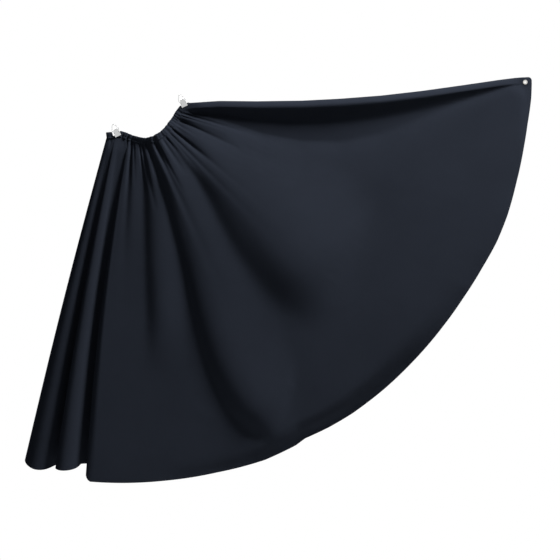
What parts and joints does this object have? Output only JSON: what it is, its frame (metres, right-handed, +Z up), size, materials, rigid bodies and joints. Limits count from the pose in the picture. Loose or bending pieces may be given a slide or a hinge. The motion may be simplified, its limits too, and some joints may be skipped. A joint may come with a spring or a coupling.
{
  "type": "kayak spray skirt",
  "caption": "Full-circle nylon deck skirt with a gathered elastic waistband, hung up by two spring clips and held out by an eyelet at the hem.",
  "frame": {"origin": "the middle of the waist opening, between the front and back layers", "axes": "+X along the hem fold that is held out, -Y out of the front layer, +Z up as it hangs"},
  "size_m": [1.1088, 0.116, 0.8883],
  "materials": {
    "cloth": "smooth coated nylon, near black navy, soft sheen",
    "elastic": "woven elastic webbing",
    "eyelet": "nickel plated",
    "clip_chrome": "bright chrome plate, light wear on the edges",
    "spring_wire": "drawn spring steel"
  },
  "bodies": {
    "root": {"front_panel": "cloth", "back_panel": "cloth", "front_hem": "cloth", "back_hem": "cloth", "right_side_seam": "cloth", "left_side_seam": "cloth", "waist_casing_front": "cloth", "waist_casing_back": "cloth", "waist_elastic": "elastic", "corner_eyelet": "eyelet", "eyelet_washer": "eyelet", "left_clip_back_jaw": "clip_chrome", "left_clip_pin": "clip_chrome", "left_clip_spring": "spring_wire", "right_clip_back_jaw": "clip_chrome", "right_clip_pin": "clip_chrome", "right_clip_spring": "spring_wire"},
    "left_jaw": {"left_clip_front_jaw": "clip_chrome"},
    "left_bail": {"left_clip_bail": "clip_chrome"},
    "right_jaw": {"right_clip_front_jaw": "clip_chrome"},
    "right_bail": {"right_clip_bail": "clip_chrome"}
  },
  "joints": [
    {"name": "left_jaw_open", "type": "hinge", "parent": "root", "child": "left_jaw", "pos_m": [-0.0672, 0, -0.0309], "axis": [-0.9063, 0, -0.4226], "range_deg": [0, 30], "stiffness_Nm_per_rad": 0.03, "springref_deg": -28.65, "deforming": ["left_clip_spring"]},
    {"name": "left_bail_swing", "type": "hinge", "parent": "root", "child": "left_bail", "pos_m": [-0.06855, 0, -0.028], "axis": [0.9063, 0, 0.4226], "range_deg": [-80, 80]},
    {"name": "right_jaw_open", "type": "hinge", "parent": "root", "child": "right_jaw", "pos_m": [0.0793, 0, 0.0341], "axis": [-0.9063, 0, -0.4226], "range_deg": [0, 30], "stiffness_Nm_per_rad": 0.03, "springref_deg": -28.65, "deforming": ["right_clip_spring"]},
    {"name": "right_bail_swing", "type": "hinge", "parent": "root", "child": "right_bail", "pos_m": [0.07795, 0, 0.037], "axis": [0.9063, 0, 0.4226], "range_deg": [-80, 80]}
  ]
}
